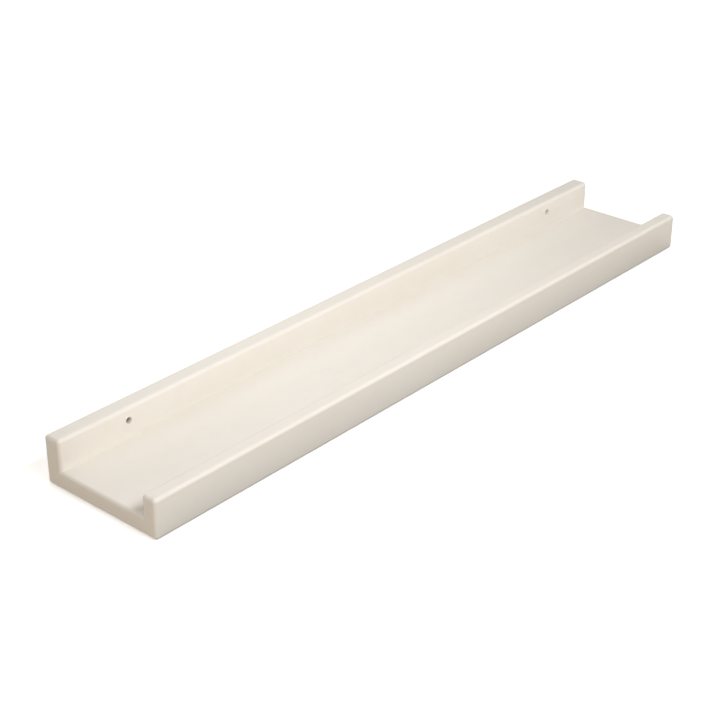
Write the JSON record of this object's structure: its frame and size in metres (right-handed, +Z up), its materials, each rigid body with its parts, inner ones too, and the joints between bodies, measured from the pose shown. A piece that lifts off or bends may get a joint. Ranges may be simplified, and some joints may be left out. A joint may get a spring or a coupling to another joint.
{
  "type": "radiator shelf",
  "caption": "Painted wooden radiator shelf: an open-ended tray with a tall back rail, a flat base and a lower front lip, hung on a wall by screws through its rail.",
  "frame": {"origin": "on the underside, halfway along the length and the depth", "axes": "+X along the shelf, +Y towards the wall, +Z up; the front lip faces -Y"},
  "size_m": [0.9, 0.158, 0.055],
  "materials": {
    "cream_paint": "satin cream paint over smooth board",
    "beech": "bare turned beech"
  },
  "bodies": {
    "root": {"back_rail": "cream_paint", "base_board": "cream_paint", "front_lip": "cream_paint", "rail_dowel_1": "beech", "rail_dowel_2": "beech", "rail_dowel_3": "beech", "rail_dowel_4": "beech", "rail_dowel_5": "beech", "rail_dowel_6": "beech", "lip_dowel_1": "beech", "lip_dowel_2": "beech", "lip_dowel_3": "beech", "lip_dowel_4": "beech", "lip_dowel_5": "beech", "lip_dowel_6": "beech"}
  },
  "joints": []
}
